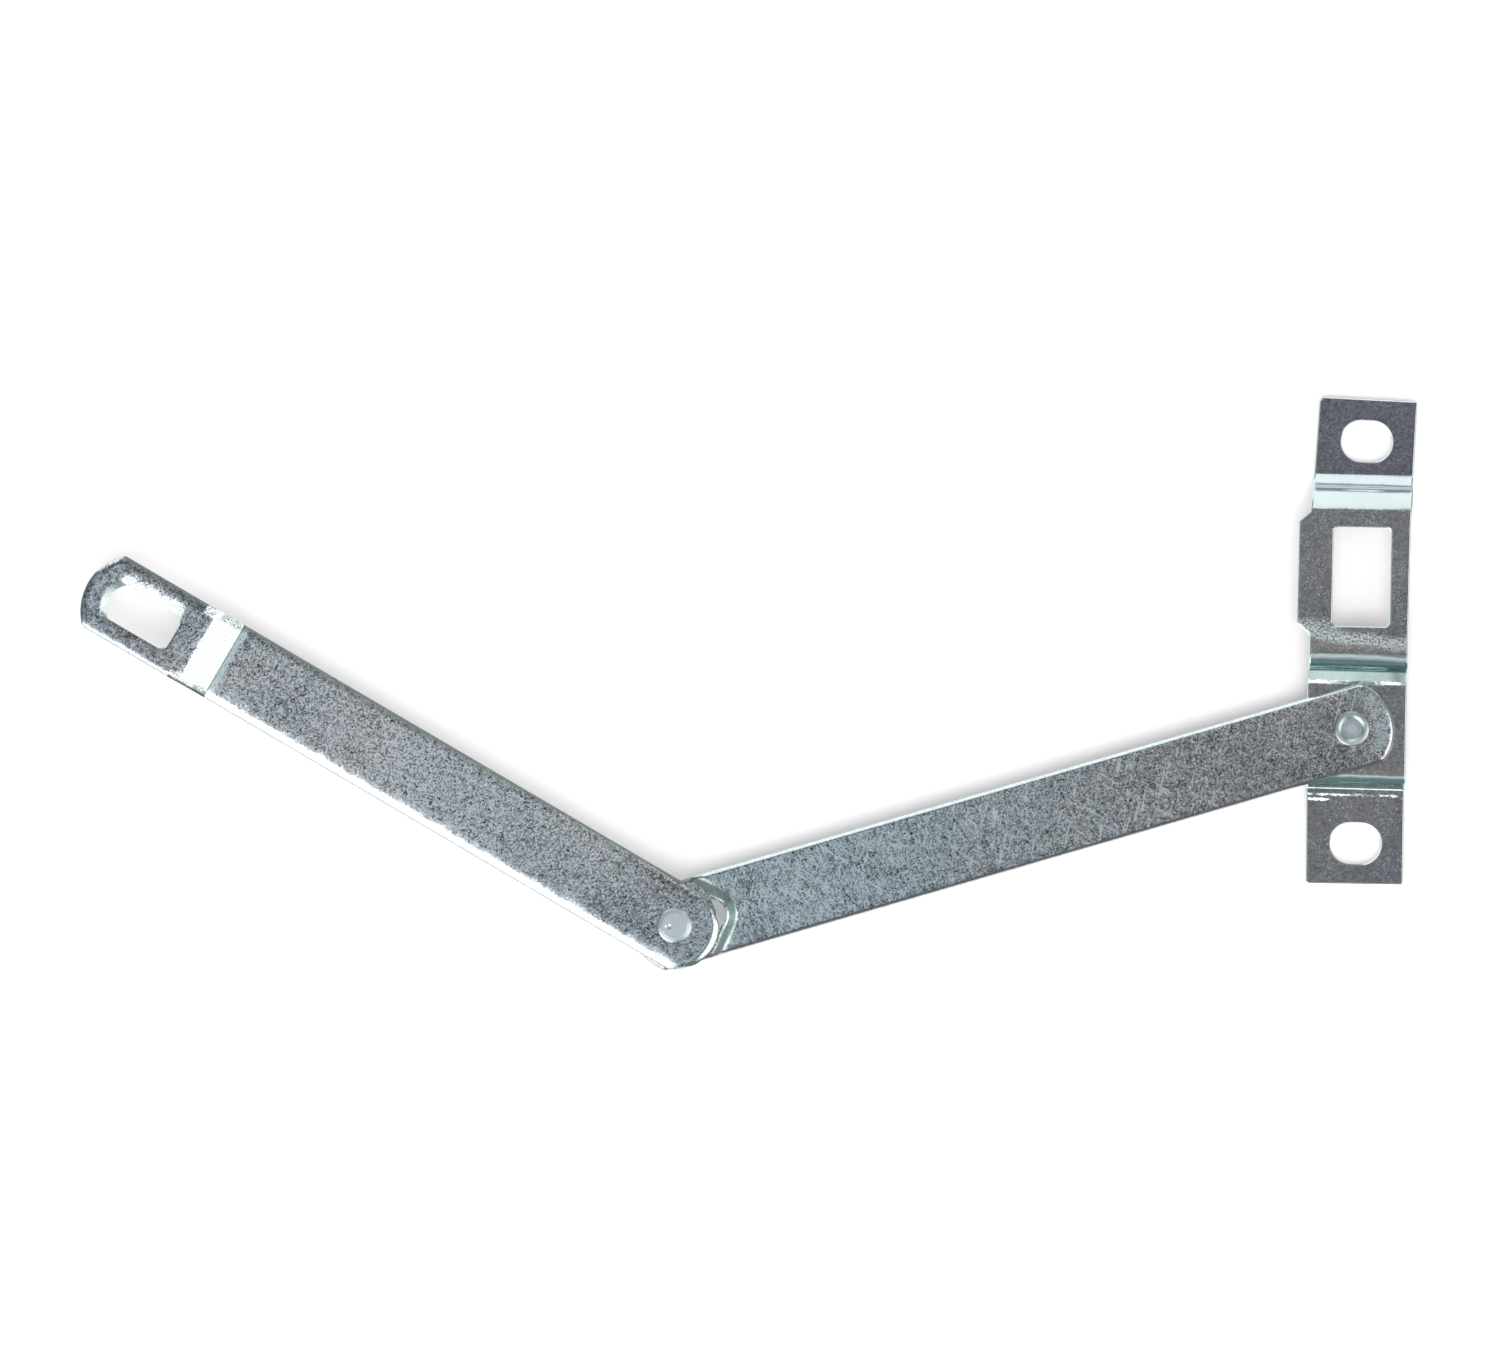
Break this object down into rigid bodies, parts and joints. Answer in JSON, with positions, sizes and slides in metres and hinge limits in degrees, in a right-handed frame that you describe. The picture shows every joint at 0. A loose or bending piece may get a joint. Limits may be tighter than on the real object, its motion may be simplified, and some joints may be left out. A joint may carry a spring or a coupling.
{
  "type": "tailgate hinge",
  "caption": "Folding strap stay hinge for a tailgate: a joggled bracket with slotted tabs and a window, riveted to flat arms that end in a lifted D-slot hook.",
  "frame": {"origin": "midway between the centres of the bracket's slots, on the surface that its end tabs are bolted to", "axes": "+Z away from the mounting surface, towards the arms; +Y along the bracket from the slot beside the rivet seat to the slot beside the window; +X across the bracket, away from the arms"},
  "size_m": [0.4085, 0.182, 0.0227],
  "materials": {
    "zinc_bracket": "zinc-plated rolled steel, worn bright spots at the bends",
    "zinc_bracket_arm": "zinc-plated rolled steel with fine spangle",
    "zinc_slotted_arm": "zinc-plated rolled steel with fine spangle",
    "zinc_rivet": "smooth zinc-plated upset rivet"
  },
  "bodies": {
    "bracket": {"mounting_bracket": "zinc_bracket", "bracket_rivet": "zinc_rivet"},
    "bracket_arm": {"bracket_arm": "zinc_bracket_arm", "elbow_rivet": "zinc_rivet"},
    "slotted_arm": {"slotted_arm": "zinc_slotted_arm"}
  },
  "joints": [
    {"name": "bracket_pivot", "type": "hinge", "parent": "bracket", "child": "bracket_arm", "pos_m": [-0.00264, -0.02649, 0.0091], "axis": [0, 0, 1], "range_deg": [-24, 167]},
    {"name": "elbow_pivot", "type": "hinge", "parent": "bracket_arm", "child": "slotted_arm", "pos_m": [-0.20864, -0.09263, 0.0147], "axis": [0, 0, 1], "continuous": true}
  ]
}
